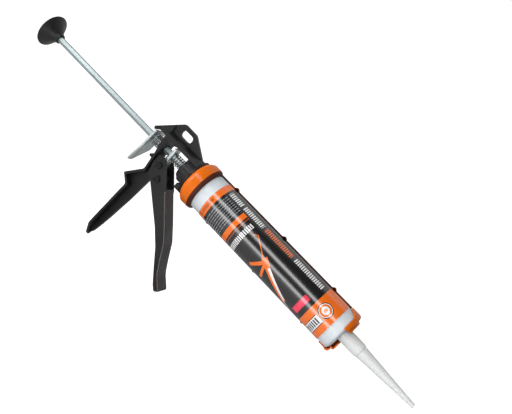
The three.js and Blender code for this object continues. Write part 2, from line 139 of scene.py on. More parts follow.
class GunStage(bpy.types.PropertyGroup):
    """Where the camera stands and how bright the studio is."""

    camera_x: size("Camera along the barrel", 182.7, "Camera's place along the barrel")
    camera_away: size("Camera distance", 662.6, "Camera's distance in front of the barrel")
    camera_up: size("Camera height", 318.7, "Camera's height over the floor")
    azimuth: turn("Azimuth", 12.42, "How far the camera turns towards the knob")
    elevation: turn("Elevation", 12.44, "How far the camera looks down")
    roll: turn("Roll", 42.92, "How far the camera is rolled")
    lens: FloatProperty(name="Lens", description="Focal length in mm", default=44.8, min=10)
    sky: FloatProperty(name="Fill light", description="Strength of the light all round", default=0.09, min=0)
    backdrop: FloatProperty(name="Backdrop", description="Strength of the backdrop", default=0.6, min=0)


# ---- Shader nodes and finishes ----------------------------------------------------------------------

# A Mix node has sockets for several kinds of value. These are the places of the ones for colours.
MIX_SHARE, MIX_FIRST, MIX_SECOND, MIX_RESULT = 0, 6, 7, 2
SOFT_BORDERS = (0.3, 0.7)  # the noise values between which a cloud fades in


def add_node(tree, kind, settings=None, values=None, output=0):
    """Adds a node, sets its properties and inputs, links any socket given, and gives back one output."""
    node = tree.nodes.new(kind)
    for name, value in (settings or {}).items():
        setattr(node, name, value)
    for key, value in (values or {}).items():
        if isinstance(value, bpy.types.NodeSocket):
            tree.links.new(value, node.inputs[key])
        else:
            node.inputs[key].default_value = value
    return node.outputs[output] if len(node.outputs) else None


def start_material(name):
    """An empty node material and its tree."""
    material = bpy.data.materials.new(name)
    material.use_nodes = True
    material.node_tree.nodes.clear()
    return material, material.node_tree


def end_material(tree, values):
    """Closes a material with one Principled shader that has the given sockets."""
    shader = add_node(tree, "ShaderNodeBsdfPrincipled", values=values)
    add_node(tree, "ShaderNodeOutputMaterial", values={"Surface": shader})


def opaque(colour_value):
    """A colour property as the four numbers that a colour socket takes."""
    return (*colour_value, 1.0)


def grain(tree, millimetres, detail, stretch=(1, 1, 1)):
    """Noise on the object's own coordinates, its features of a real size and stretched if asked."""
    place = add_node(tree, "ShaderNodeTexCoord", output="Object")
    scaled = add_node(tree, "ShaderNodeMapping", values={"Vector": place, "Scale": stretch})
    return add_node(
        tree,
        "ShaderNodeTexNoise",
        values={"Vector": scaled, "Scale": 1 / (millimetres * MM), "Detail": detail, "Roughness": 0.55},
    )


def clouded(tree, noise, colour_value, share, roughness=None, borders=SOFT_BORDERS):
    """Shader values that drift with the noise: a colour towards share times itself, and a roughness."""
    cloud = add_node(
        tree,
        "ShaderNodeMapRange",
        {"interpolation_type": "SMOOTHSTEP"},
        {"Value": noise, "From Min": borders[0], "From Max": borders[1]},
    )
    far_colour = tuple(min(1.0, c * share) for c in colour_value)
    tint = add_node(
        tree,
        "ShaderNodeMix",
        {"data_type": "RGBA"},
        {MIX_SHARE: cloud, MIX_FIRST: opaque(colour_value), MIX_SECOND: opaque(far_colour)},
        MIX_RESULT,
    )
    values = {"Base Color": tint}
    if roughness:
        values["Roughness"] = add_node(
            tree,
            "ShaderNodeMapRange",
            {"interpolation_type": "SMOOTHSTEP"},
            {"Value": cloud, "To Min": roughness[0], "To Max": roughness[1]},
        )
    return values


def textured(tree, millimetres, detail, depth, strength, stretch=(1, 1, 1)):
    """A bump with dents of a real size and depth, both in millimetres."""
    height = grain(tree, millimetres, detail, stretch)
    return add_node(
        tree, "ShaderNodeBump", values={"Strength": strength, "Distance": depth * MM, "Height": height}
    )


def satin_black_enamel(name):
    """Stoved enamel on a zinc casting: satin, a little pebbled, with dull patches where hands rub it."""
    material, tree = start_material(name)
    enamel = bpy.context.scene.gun_colours.enamel
    end_material(
        tree,
        {
            **clouded(tree, grain(tree, 26, 4), enamel, 1.35, (0.34, 0.46)),
            "Normal": textured(tree, 0.9, 3, 0.05, 0.5),  # coarser than the real 0.3 mm so that it shows
            "Specular IOR Level": 0.3,
            "Coat Weight": 0.1,
            "Coat Roughness": 0.2,
            "IOR": 1.5,
        },
    )
    return material


def fold_painted_highlight(name):
    """Painted highlight along the trigger's folds: the same enamel painted as a lighter, streaky grey-brown
    line in place of the shine that the bends catch, with a brighter shine of its own.
    """
    material, tree = start_material(name)
    fold_highlight = bpy.context.scene.gun_colours.fold_highlight
    end_material(
        tree,
        {
            **clouded(tree, grain(tree, 5, 4), fold_highlight, 0.6, (0.26, 0.36), (0.35, 0.65)),
            "Normal": textured(tree, 1.2, 3, 0.03, 0.4),
            "Coat Weight": 0.3,
            "Coat Roughness": 0.2,
            "IOR": 1.5,
        },
    )
    return material


def moulded_black_nylon(name):
    """Injection-moulded glass-filled nylon: dull black with a fine spark-eroded grain."""
    material, tree = start_material(name)
    nylon = bpy.context.scene.gun_colours.nylon
    end_material(
        tree,
        {
            **clouded(tree, grain(tree, 14, 3), nylon, 1.5, (0.36, 0.48)),
            "Normal": textured(tree, 0.6, 2, 0.04, 0.6),
            "Specular IOR Level": 0.4,
            "IOR": 1.53,
        },
    )
    return material


def rim_strip_painted_shade(name):
    """Painted shade in the ring's open front: a matt dark brown strip with a paler bloom and no clear
    highlight, standing where the inside of the ring lies in shade.
    """
    material, tree = start_material(name)
    rim_shade = bpy.context.scene.gun_colours.rim_shade
    end_material(
        tree,
        {
            **clouded(tree, grain(tree, 8, 4), rim_shade, 1.5, (0.55, 0.7)),
            "Normal": textured(tree, 0.8, 2, 0.05, 0.5),
            "Specular IOR Level": 0.3,
            "IOR": 1.52,
        },
    )
    return material


def orange_powder_coat(name):
    """Powder coat on pressed steel: deep glossy orange with the slow ripple that such a coat levels to."""
    material, tree = start_material(name)
    powder = bpy.context.scene.gun_colours.powder
    end_material(
        tree,
        {
            **clouded(tree, grain(tree, 30, 5), powder, 0.86, (0.3, 0.38), (0.4, 0.75)),
            "Normal": textured(tree, 2.2, 2, 0.12, 0.35),
            "Specular IOR Level": 0.15,
            "Coat Weight": 0.35,
            "Coat Roughness": 0.16,
            "IOR": 1.5,
        },
    )
    return material


def painted_edge_shade(name):
    """Painted shade on the sheet's sheared edges: a brown with darker streaks in it, standing in for the
    shade that the thin cut edge lies in.
    """
    material, tree = start_material(name)
    edge_shade = bpy.context.scene.gun_colours.edge_shade
    streaks = grain(tree, 3, 4, (0.3, 1, 1))
    end_material(
        tree,
        {
            **clouded(tree, streaks, edge_shade, 0.45, (0.45, 0.6), (0.35, 0.65)),
            "Normal": textured(tree, 0.7, 2, 0.05, 0.5),
            "IOR": 1.5,
        },
    )
    return material


def blackened_steel(name):
    """Riveted pins, blackened in hot salts: near-black metal whose turned heads keep a crisp dark shine."""
    material, tree = start_material(name)
    blackened = bpy.context.scene.gun_colours.blackened
    end_material(
        tree,
        {
            **clouded(tree, grain(tree, 1.5, 4), blackened, 1.9, (0.24, 0.38), (0.4, 0.75)),
            "Metallic": 1.0,
            "Normal": textured(tree, 0.7, 3, 0.02, 0.4),
        },
    )
    return material


def zinc_plated_steel(name):
    """Bright zinc plate, blue passivated: a cool grey metal with a soft, slightly cloudy shine."""
    material, tree = start_material(name)
    zinc = bpy.context.scene.gun_colours.zinc
    rolled = (0.15, 1, 1)  # rolling marks run along the sheet and are drawn coarse enough to show
    end_material(
        tree,
        {
            **clouded(tree, grain(tree, 6, 4), zinc, 0.82, (0.34, 0.46)),
            "Metallic": 1.0,
            "Normal": textured(tree, 0.5, 2, 0.02, 0.4, rolled),
        },
    )
    return material


def drawn_zinc_rod(name):
    """Cold-drawn hexagonal bar, zinc plated: fine die lines run the length of every flat."""
    material, tree = start_material(name)
    rod = bpy.context.scene.gun_colours.rod
    die_lines = grain(tree, 0.7, 3, (0.01, 1, 1))
    dulled = add_node(
        tree,
        "ShaderNodeMapRange",
        {"interpolation_type": "SMOOTHSTEP"},
        {"Value": die_lines, "From Min": 0.3, "From Max": 0.7, "To Min": 0.5, "To Max": 0.62},
    )
    scored = add_node(
        tree, "ShaderNodeBump", values={"Strength": 0.4, "Distance": 0.02 * MM, "Height": die_lines}
    )
    end_material(
        tree,
        {
            **clouded(tree, grain(tree, 18, 4, (0.3, 1, 1)), rod, 0.85),
            "Metallic": 1.0,
            "Roughness": dulled,
            "Normal": scored,
        },
    )
    return material


def oiled_spring_wire(name):
    """Patented carbon-steel wire: darker than the plating, with a light film of oil."""
    material, tree = start_material(name)
    spring = bpy.context.scene.gun_colours.spring
    end_material(
        tree,
        {
            **clouded(tree, grain(tree, 2, 3), spring, 0.7),
            "Metallic": 1.0,
            "Roughness": 0.28,
            "Coat Weight": 0.3,
            "Coat Roughness": 0.15,
        },
    )
    return material


def moulded_white_polyethylene(name):
    """Moulded high-density polyethylene: waxy cool white that lets a little light in."""
    material, tree = start_material(name)
    tube = bpy.context.scene.gun_colours.tube
    end_material(
        tree,
        {
            **clouded(tree, grain(tree, 20, 3), tube, 0.96, (0.34, 0.42)),
            "Normal": textured(tree, 1.2, 2, 0.03, 0.4),
            "Subsurface Weight": 0.2,
            "Subsurface Radius": (0.002, 0.002, 0.0025),
            "IOR": 1.54,
        },
    )
    return material


def frosted_polyethylene(name):
    """Low-density polyethylene nozzle: milky and translucent, with faint rings from its moulding tool."""
    material, tree = start_material(name)
    nozzle = bpy.context.scene.gun_colours.nozzle
    round_it = (1, 0.02, 0.02)
    end_material(
        tree,
        {
            **clouded(tree, grain(tree, 12, 3), nozzle, 0.97, (0.3, 0.4)),
            "Normal": textured(tree, 1.1, 2, 0.04, 0.4, round_it),
            "Subsurface Weight": 0.35,
            "Subsurface Radius": (0.004, 0.004, 0.004),
            "Transmission Weight": 0.1,
            "IOR": 1.51,
        },
    )
    return material


# ---- The printed label ------------------------------------------------------------------------------

# The label is printed flat: u runs in mm from its rear edge, v in mm round from the top, down the open
# side. Each place is a range of u and a range of v, and may run past the label's edges.
ALL_ROUND = (-200, 200)
REAR_BAND = ((-5, 7.9), ALL_ROUND)
FRONT_BAND = ((158.1, 190), ALL_ROUND)
CODE_BAND = ((36.9, 43.2), (18.4, 200))
THIN_LINE = ((45.2, 46.2), (18.4, 70))
SMALL_PRINT = ((10, 35), (19, 66))
SIDE_WORD = ((51.0, 57.2), (21, 70))
TITLE_ROW = (8.6, 15.9)
RED_PATCH = ((144.9, 152.2), (32, 56))
PATCH_WORDS = ((146.4, 150.6), (34, 54))
DATES = ((2.2, 5.6), (27, 58))
BADGE = ((166.4, 177.6), (37.5, 68))
BADGE_INSIDE = ((167.2, 176.8), (38.3, 67))
BADGE_WORDS = ((168.4, 175.6), (40, 66))
ROUNDEL = (171.0, 28.5)


def patch(tree, u, v, u_range, v_range):
    """1 inside a rectangle and 0 outside it."""
    inside_u, inside_v = (
        add_node(
            tree,
            "ShaderNodeMath",
            {"operation": "COMPARE"},
            {0: value, 1: (low + high) / 2, 2: (high - low) / 2},
        )
        for value, (low, high) in ((u, u_range), (v, v_range))
    )
    return add_node(tree, "ShaderNodeMath", {"operation": "MULTIPLY"}, {0: inside_u, 1: inside_v})


def strokes(tree, area, along, pitch, width, share, seed):
    """The part of an area under a row of bars, some left out at random: print too generic to read."""
    cell = add_node(tree, "ShaderNodeMath", {"operation": "DIVIDE"}, {0: along, 1: pitch})
    whole = add_node(tree, "ShaderNodeMath", {"operation": "FLOOR"}, {0: cell})
    offset = add_node(tree, "ShaderNodeMath", {"operation": "ADD"}, {0: whole, 1: seed})
    chance = add_node(tree, "ShaderNodeTexWhiteNoise", {"noise_dimensions": "1D"}, {"W": offset})
    printed = add_node(tree, "ShaderNodeMath", {"operation": "LESS_THAN"}, {0: chance, 1: share})
    within = add_node(tree, "ShaderNodeMath", {"operation": "FRACT"}, {0: cell})
    inked = add_node(tree, "ShaderNodeMath", {"operation": "LESS_THAN"}, {0: within, 1: width / pitch})
    bars = add_node(tree, "ShaderNodeMath", {"operation": "MULTIPLY"}, {0: printed, 1: inked})
    return add_node(tree, "ShaderNodeMath", {"operation": "MULTIPLY"}, {0: area, 1: bars})


def bar(tree, plane, start, end, width):
    """1 inside a straight bar drawn on the label from start to end."""
    start, end = Vector(start), Vector(end)
    middle = (start + end) / 2
    direction = end - start
    turned = add_node(
        tree,
        "ShaderNodeVectorRotate",
        {"rotation_type": "Z_AXIS"},
        {"Vector": plane, "Center": (*middle, 0), "Angle": -math.atan2(direction.y, direction.x)},
    )
    along, across = (add_node(tree, "ShaderNodeSeparateXYZ", values={0: turned}, output=i) for i in "XY")
    half_length, half_width = direction.length / 2, width / 2
    return patch(
        tree,
        along,
        across,
        (middle.x - half_length, middle.x + half_length),
        (middle.y - half_width, middle.y + half_width),
    )


def hoop(tree, plane, centre, inner, outer):
    """1 inside a flat ring about a point of the label."""
    distance = add_node(
        tree, "ShaderNodeVectorMath", {"operation": "DISTANCE"}, {0: plane, 1: (*centre, 0)}, "Value"
    )
    return add_node(
        tree,
        "ShaderNodeMath",
        {"operation": "COMPARE"},
        {0: distance, 1: (inner + outer) / 2, 2: (outer - inner) / 2},
    )


def label_coordinates(tree):
    """The label's own u and v in mm, from the object's coordinates."""
    place = add_node(tree, "ShaderNodeTexCoord", output="Object")
    x, y, z = (add_node(tree, "ShaderNodeSeparateXYZ", values={0: place}, output=i) for i in "XYZ")
    u = add_node(
        tree, "ShaderNodeMath", {"operation": "MULTIPLY_ADD"}, {0: x, 1: 1 / MM, 2: -LABEL_LOW.x / MM}
    )
    near = add_node(tree, "ShaderNodeMath", {"operation": "MULTIPLY"}, {0: y, 1: -1.0})
    height = add_node(tree, "ShaderNodeMath", {"operation": "SUBTRACT"}, {0: z, 1: AXIS_HEIGHT})
    angle = add_node(tree, "ShaderNodeMath", {"operation": "ARCTAN2"}, {0: near, 1: height})
    v = add_node(tree, "ShaderNodeMath", {"operation": "MULTIPLY"}, {0: angle, 1: LABEL_RADIUS / MM})
    return u, v


def printed_label_film(name):
    """Gloss-laminated printed film: flat inks under a clear skin, with faint waves where it is wrapped."""
    look = bpy.context.scene.gun_colours
    material, tree = start_material(name)
    u, v = label_coordinates(tree)
    plane = add_node(tree, "ShaderNodeCombineXYZ", values={0: u, 1: v})
    black, orange, white, grey, red = (
        opaque(c) for c in (look.ink_black, look.ink_orange, look.ink_white, look.ink_grey, look.ink_red)
    )
    brown, dark_brown = (opaque(share * c for c in look.ink_orange) for share in (0.45, 0.3))
    pink = opaque(min(1, 1.9 * c) for c in look.ink_red)

    def area(place):
        return patch(tree, u, v, *place)

    def words(place, along, pitch, width, share, seed):
        return strokes(tree, area(place), along, pitch, width, share, seed)

    title = [((11.3, 63), white), ((66.3, 107.2), orange), ((111.4, 152.3), white)]
    small_columns = words(SMALL_PRINT, u, pitch=2.9, width=1.1, share=0.9, seed=40)
    layers = [
        (area(REAR_BAND), orange),
        (area(FRONT_BAND), orange),
        (area(CODE_BAND), orange),
        (area(THIN_LINE), brown),
        (strokes(tree, small_columns, v, pitch=0.9, width=0.8, share=0.72, seed=77), grey),
        (words(SIDE_WORD, v, pitch=2.7, width=1.6, share=0.92, seed=12), white),
    ]
    for reach, ink in title:
        layers.append((words((reach, TITLE_ROW), u, pitch=2.6, width=1.5, share=0.93, seed=3), ink))
    layers += [
        (area(RED_PATCH), red),
        (words(PATCH_WORDS, v, pitch=2.2, width=1.1, share=0.8, seed=21), pink),
        (words(DATES, v, pitch=1.9, width=1.1, share=0.7, seed=9), dark_brown),
    ]
    # A plain drawing of a gun: where each bar starts and ends, its width and its ink.
    picture = {
        "knob": ((61.5, 28.0), (66.5, 24.6), 0.9, orange),
        "rod": ((66.0, 24.4), (90.5, 39.5), 1.1, orange),
        "body": ((88.0, 36.5), (97.0, 41.5), 7.0, orange),
        "handle": ((91.5, 40.5), (80.0, 56.0), 4.2, orange),
        "trigger": ((93.0, 41.0), (98.0, 58.0), 3.4, orange),
        "cradle": ((95.0, 40.4), (134.0, 59.0), 6.0, orange),
        "cartridge": ((99.0, 40.9), (133.0, 57.0), 3.0, white),
        "nozzle": ((132.0, 58.0), (144.0, 64.0), 1.2, white),
    }
    for start, end, width, ink in picture.values():
        layers.append((bar(tree, plane, start, end, width), ink))
    for inner, outer, ink in ((7.4, 8.3, black), (6.6, 7.4, white), (2.2, 4.4, white)):
        layers.append((hoop(tree, plane, ROUNDEL, inner, outer), ink))
    layers += [
        (area(BADGE), black),
        (area(BADGE_INSIDE), white),
        (words(BADGE_WORDS, v, pitch=3.2, width=1.7, share=0.95, seed=5), black),
    ]
    print_colour = black
    for mask, ink in layers:
        print_colour = add_node(
            tree,
            "ShaderNodeMix",
            {"data_type": "RGBA"},
            {MIX_SHARE: mask, MIX_FIRST: print_colour, MIX_SECOND: ink},
            MIX_RESULT,
        )
    handled = add_node(
        tree,
        "ShaderNodeMapRange",
        {"interpolation_type": "SMOOTHSTEP"},
        {"Value": grain(tree, 22, 4), "From Min": 0.3, "From Max": 0.7, "To Min": 0.35, "To Max": 0.5},
    )
    end_material(
        tree,
        {
            "Base Color": print_colour,
            "Roughness": handled,
            "Normal": textured(tree, 9, 1, 0.1, 0.1, (0.5, 1, 1)),
            "Specular IOR Level": 0.0,
            "Coat Weight": 1.0,
            "Coat Roughness": 0.2,
            "Coat IOR": 1.9,
            "IOR": 1.49,
        },
    )
    return material


FINISHES = {
    build.__name__: build
    for build in (
        satin_black_enamel,
        fold_painted_highlight,
        moulded_black_nylon,
        rim_strip_painted_shade,
        orange_powder_coat,
        painted_edge_shade,
        blackened_steel,
        zinc_plated_steel,
        drawn_zinc_rod,
        oiled_spring_wire,
        moulded_white_polyethylene,
        frosted_polyethylene,
        printed_label_film,
    )
}


def finish(name):
    """The named finish, made the first time that it is asked for."""
    return bpy.data.materials.get(name) or FINISHES[name](name)


# ---- Mesh tools -------------------------------------------------------------------------------------

FULL_TURN = 2 * math.pi
WELD = 0.02 * MM
FLAT_WITHIN = math.radians(1)
ROUNDED_FROM = math.radians(34)  # edges that turn by more than this are rounded


def barrel_point(x, radius, angle=0.0):
    """A point at a distance from the barrel's axis; the angle is round from the top towards +Y."""
    return Vector((x, radius * math.sin(angle), AXIS_HEIGHT + radius * math.cos(angle)))


def turned_shape(profile, closed=True, steps=96, start=0.0, angle=FULL_TURN):
    """A mesh turned about the barrel's axis from [x, radius] points in metres."""
    bm = bmesh.new()
    corners = [bm.verts.new(barrel_point(x, radius, start)) for x, radius in profile]
    pairs = list(zip(corners, corners[1:]))
    if closed:
        pairs.append((corners[-1], corners[0]))
    edges = [bm.edges.new(pair) for pair in pairs]
    whole = math.isclose(angle, FULL_TURN)
    bmesh.ops.spin(
        bm,
        geom=corners + edges,
        cent=barrel_point(0, 0),
        axis=(-1, 0, 0),
        angle=angle,
        steps=steps,
        use_merge=whole,
    )
    bmesh.ops.remove_doubles(bm, verts=bm.verts, dist=WELD / 4)
    if not whole:
        rims = [edge for edge in bm.edges if edge.is_boundary]
        bmesh.ops.holes_fill(bm, edges=rims, sides=0)
    bmesh.ops.recalc_face_normals(bm, faces=bm.faces)
    return bm


def merged_copy(node):
    """A CAD node's mesh with its loose triangles joined and its flat faces made whole."""
    bm = bmesh.new()
    bm.from_mesh(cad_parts[node].data)
    bmesh.ops.remove_doubles(bm, verts=bm.verts, dist=WELD)
    bmesh.ops.dissolve_limit(
        bm, angle_limit=FLAT_WITHIN, verts=bm.verts, edges=bm.edges, use_dissolve_boundaries=False
    )
    return bm


def add_piece(name, bm, material, body, stands_for, edge=0.0, segments=2):
    """Makes the mesh a piece: smooth, with rounded edges, riding on its body in place of its CAD nodes."""
    mesh = bpy.data.meshes.new(name)
    bm.to_mesh(mesh)
    bm.free()
    mesh.shade_smooth()
    piece = bpy.data.objects.new(name, mesh)
    bpy.context.scene.collection.objects.link(piece)
    mesh.materials.append(finish(material))
    if edge:
        rounding = piece.modifiers.new("rounded_edges", "BEVEL")
        rounding.width = edge
        rounding.segments = segments
        rounding.limit_method = "ANGLE"
        rounding.angle_limit = ROUNDED_FROM
        rounding.miter_outer = "MITER_ARC"
    even = piece.modifiers.new("even_shading", "WEIGHTED_NORMAL")
    even.keep_sharp = True
    even.weight = 60
    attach(piece, body)
    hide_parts(*stands_for)
    return piece


def repaint(node, material):
    """Gives a carried-over CAD node its finish."""
    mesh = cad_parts[node].data
    mesh.materials.clear()
    mesh.materials.append(finish(material))


# ---- Operators: one for each group of pieces --------------------------------------------------------


class BodyPieces(bpy.types.Operator):
    """Rounds the edges of the body casting, trigger and the other cast and pressed pieces"""

    bl_idname = "caulking_gun.body_pieces"
    bl_label = "Body pieces"

    def execute(self, context):
        sizes = context.scene.gun_sizes
        enamel, zinc = "satin_black_enamel", "zinc_plated_steel"
        rows = [
            ("body_casting", enamel, "frame", sizes.casting_edge, "black_paint"),
            ("swivel_flange", enamel, "frame", sizes.sheet_edge, "black_paint"),
            ("collar_nut", "moulded_black_nylon", "frame", sizes.sheet_edge, "black_plastic"),
            ("trigger_pivot_pin", "blackened_steel", "frame", sizes.fine_edge, "black_paint"),
            ("thrust_pin", "blackened_steel", "trigger", sizes.fine_edge, "black_paint"),
            ("thrust_block", zinc, "trigger", sizes.sheet_edge, "steel"),
            ("drive_plate", zinc, "drive", sizes.sheet_edge, "zinc_plate"),
            ("release_lever", zinc, "lever", sizes.sheet_edge, "zinc_plate"),
            ("pivot_washer_near", zinc, "frame", sizes.fine_edge, "zinc_plate"),
            ("pivot_washer_far", zinc, "frame", sizes.fine_edge, "zinc_plate"),
            ("cradle_front_plate", "orange_powder_coat", "barrel", sizes.sheet_edge, "orange_paint"),
            ("push_rod", "drawn_zinc_rod", "rod", sizes.rod_edge, "zinc_plate"),
            ("piston_nut", zinc, "rod", sizes.fine_edge, "zinc_plate"),
        ]
        for node, material, body, edge, slot in rows:
            add_piece(f"{node}_finished", merged_copy(node), material, body, [node], edge)
        self.trigger(sizes)
        return {"FINISHED"}

    def trigger(self, sizes):
        """The trigger is one folded sheet, so the corners along its front are bends with a real radius."""
        low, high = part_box("trigger")
        bm = merged_copy("trigger")
        wall_top = AXIS_HEIGHT - 33 * MM  # above this the front is open and there is no fold
        everything = list(bm.verts) + list(bm.edges) + list(bm.faces)
        bmesh.ops.bisect_plane(bm, geom=everything, plane_co=(0, 0, wall_top), plane_no=(0, 0, 1))
        bm.normal_update()
        across = high.y - low.y

        def is_front(face):
            """Whether a face looks forwards and reaches from cheek to cheek."""
            reach = [vert.co.y for vert in face.verts]
            return face.normal.x > 0.2 and max(reach) - min(reach) > 0.99 * across

        def is_cheek(face):
            """Whether a face is on the outside of a cheek."""
            return abs(face.normal.y) > 0.99 and abs(face.calc_center_median().y) > 0.49 * across

        folds = []
        for edge in bm.edges:
            below = all(vert.co.z < wall_top + WELD for vert in edge.verts)
            if below and any(map(is_front, edge.link_faces)) and any(map(is_cheek, edge.link_faces)):
                folds.append(edge)
        # The fold faces take the second material, a painted highlight along the bends.
        bmesh.ops.bevel(
            bm,
            geom=folds,
            offset=sizes.fold,
            offset_type="OFFSET",
            segments=4,
            profile=0.5,
            affect="EDGES",
            material=1,
        )
        trigger = add_piece(
            "trigger_finished",
            bm,
            "satin_black_enamel",
            "trigger",
            ["trigger"],
            sizes.fine_edge,
        )
        # The second material is the painted highlight on the folds.
        trigger.data.materials.append(finish("fold_painted_highlight"))


BEADS = (6.7 * MM, 82.7 * MM, 158.7 * MM)  # along the barrel
BEAD_HEIGHT = 2.0 * MM
SHELL_START = math.radians(11)  # round from the top, on the side away from the opening
SHELL_END = math.radians(172)
SHEET_INSIDE = LABEL_RADIUS + 0.4 * MM  # inside of the ring and cradle, clear of the label


class BarrelPieces(bpy.types.Operator):
    """Turns the barrel ring and the half-round cradle shell with its stiffening beads"""

    bl_idname = "caulking_gun.barrel_pieces"
    bl_label = "Barrel ring and cradle"

    def execute(self, context):
        sizes = context.scene.gun_sizes
        self.ring(sizes)
        self.edging(sizes)
        self.shell(sizes)
        return {"FINISHED"}

    def ring(self, sizes):
        rear, front = RING_LOW.x, RING_HIGH.x
        outer = (RING_HIGH.z - RING_LOW.z) / 2
        bore = 11.4 * MM
        wall_front = rear + 5 * MM
        profile = [
            (rear, bore),
            (rear, outer - 5.0 * MM),
            (rear + 2.5 * MM, outer - 2.2 * MM),
            (rear + 6 * MM, outer),
            (front, outer),
            (front, SHEET_INSIDE),
            (wall_front, SHEET_INSIDE),
            (wall_front, bore),
        ]
        add_piece(
            "swivel_ring",
            turned_shape(profile, steps=128),
            "orange_powder_coat",
            "barrel",
            ["barrel_ring"],
            sizes.ring_edge,
            3,
        )

    def edging(self, sizes):
        low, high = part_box("ring_edging")
        inner = LABEL_RADIUS + 0.2 * MM
        outer = (RING_HIGH.z - RING_LOW.z) / 2 - 0.3 * MM
        profile = [
            (low.x, inner),
            (low.x, outer),
            (low.x + 2.2 * MM, outer - 0.4 * MM),
            (high.x, inner + 0.6 * MM),
            (high.x, inner),
        ]
        gap = math.radians(1.5)
        start = SHELL_END + gap
        angle = FULL_TURN + SHELL_START - gap - start
        shape = turned_shape(profile, steps=80, start=start, angle=angle)
        # A dark brown strip laid in the ring's open front as painted shade.
        add_piece(
            "rim_edging",
            shape,
            "rim_strip_painted_shade",
            "barrel",
            ["ring_edging"],
            sizes.sheet_edge,
            3,
        )

    def beaded_line(self, low, high, radius):
        """One side of the sheet from rear to front, as [x, radius], with its beads pressed outwards."""
        bead_steps = 10
        bead_half = 3.4 * MM
        line = [(low, radius)]
        for centre in BEADS:
            for i in range(bead_steps + 1):
                share = 2 * i / bead_steps - 1
                rise = BEAD_HEIGHT * math.cos(share * math.pi / 2) ** 1.3
                line.append((centre + bead_half * share, radius + rise))
        return [*line, (high, radius)]

    def shell(self, sizes):
        low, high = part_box("cradle_shell")
        outside = self.beaded_line(low.x, high.x, high.y - BEAD_HEIGHT)
        inside = self.beaded_line(low.x, high.x, SHEET_INSIDE)
        profile = [*outside, *reversed(inside)]
        shape = turned_shape(profile, steps=64, start=SHELL_START, angle=SHELL_END - SHELL_START)
        # The two long cut edges take the second material, painted shade.
        for face in shape.faces:
            is_sheared_end = len(face.verts) == len(profile)
            face.material_index = int(is_sheared_end)
        shell = add_piece(
            "half_round_cradle",
            shape,
            "orange_powder_coat",
            "barrel",
            ["cradle_shell"],
            sizes.fine_edge,
            2,
        )
        shell.data.materials.append(finish("painted_edge_shade"))


class CartridgePieces(bpy.types.Operator):
    """Turns the cartridge, its printed label and the long nozzle, and gives the plunger its finish"""

    bl_idname = "caulking_gun.cartridge_pieces"
    bl_label = "Cartridge and nozzle"

    def execute(self, context):
        sizes = context.scene.gun_sizes
        self.tube(sizes)
        self.label()
        self.nozzle(sizes)
        repaint("cartridge_plunger", "moulded_white_polyethylene")
        return {"FINISHED"}

    def tube(self, sizes):
        rear, front = TUBE_LOW.x, TUBE_HIGH.x
        outer = (TUBE_HIGH.z - TUBE_LOW.z) / 2
        shoulder = front - 19.2 * MM
        taper = shoulder - 4.2 * MM
        inner = outer - 1.2 * MM
        neck_bore = 5.6 * MM
        profile = [
            (rear, inner),
            (rear, outer),
            (taper, outer),
            (shoulder - 2.2 * MM, 22.6 * MM),
            (shoulder - 1.0 * MM, 20.4 * MM),
            (shoulder - 0.2 * MM, 17.6 * MM),
            (shoulder, 7.4 * MM),
            (front, 7.2 * MM),
            (front, neck_bore),
            (shoulder - 1.8 * MM, neck_bore),
            (shoulder - 2.2 * MM, outer - 2.6 * MM),
            (taper, inner),
        ]
        add_piece(
            "sealant_cartridge",
            turned_shape(profile, steps=128),
            "moulded_white_polyethylene",
            "barrel",
            ["cartridge_tube"],
            sizes.fine_edge,
            2,
        )

    def label(self):
        thickness = 0.3 * MM
        profile = [
            (LABEL_LOW.x, LABEL_RADIUS - thickness),
            (LABEL_LOW.x, LABEL_RADIUS),
            (LABEL_HIGH.x, LABEL_RADIUS),
            (LABEL_HIGH.x, LABEL_RADIUS - thickness),
        ]
        add_piece(
            "wrapped_label",
            turned_shape(profile, steps=160),
            "printed_label_film",
            "barrel",
            ["cartridge_label"],
        )

    def nozzle(self, sizes):
        low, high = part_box("nozzle")
        base = (high.z - low.z) / 2
        collar = low.x + 25.1 * MM
        socket_end = low.x + 19.4 * MM
        socket = base - 0.8 * MM
        bore = 6.2 * MM
        profile = [
            (low.x, socket),
            (low.x, base),
            (collar - 2.5 * MM, base),
            (collar, base - 0.6 * MM),
            (collar + 0.4 * MM, 7.4 * MM),
            (high.x, 2.4 * MM),
            (high.x, 1.6 * MM),
            (collar + 2 * MM, bore),
            (socket_end, bore),
            (socket_end, socket),
        ]
        add_piece(
            "cone_nozzle",
            turned_shape(profile, steps=64),
            "frosted_polyethylene",
            "barrel",
            ["nozzle"],
            sizes.fine_edge,
            2,
        )


class RodPieces(bpy.types.Operator):
    """Turns the mushroom pull knob and finishes the piston at the rod's other end"""

    bl_idname = "caulking_gun.rod_pieces"
    bl_label = "Pull knob and piston"

    def execute(self, context):
        low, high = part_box("pull_knob")
        rim = (high.z - low.z) / 2
        rear, front = low.x, high.x
        rod_corner = 4.3 * MM
        bore = rod_corner + 0.3 * MM
        socket_end = rear + 4.3 * MM
        profile = [
            (rear, 0.0),
            (rear, rim - 0.8 * MM),
            (rear + 0.7 * MM, rim),
            (rear + 1.5 * MM, rim),
            (rear + 5 * MM, 16.6 * MM),
            (rear + 9 * MM, 11.6 * MM),
            (rear + 13 * MM, 7.8 * MM),
            (rear + 15 * MM, 6.6 * MM),
            (front, 6.1 * MM),
            (front, bore),
            (socket_end, bore),
            (socket_end, 0.0),
        ]
        add_piece(
            "mushroom_knob",
            turned_shape(profile, closed=False),
            "moulded_black_nylon",
            "rod",
            ["pull_knob"],
            context.scene.gun_sizes.sheet_edge,
            3,
        )
        for node in ("piston_disc", "piston_washer"):
            repaint(node, "zinc_plated_steel")
        return {"FINISHED"}


DRIVE_STROKE = 8.2 * MM
LEVER_STROKE = 1.5 * MM  # how far the lever squeezes its spring
STEPS_PER_COIL = 28


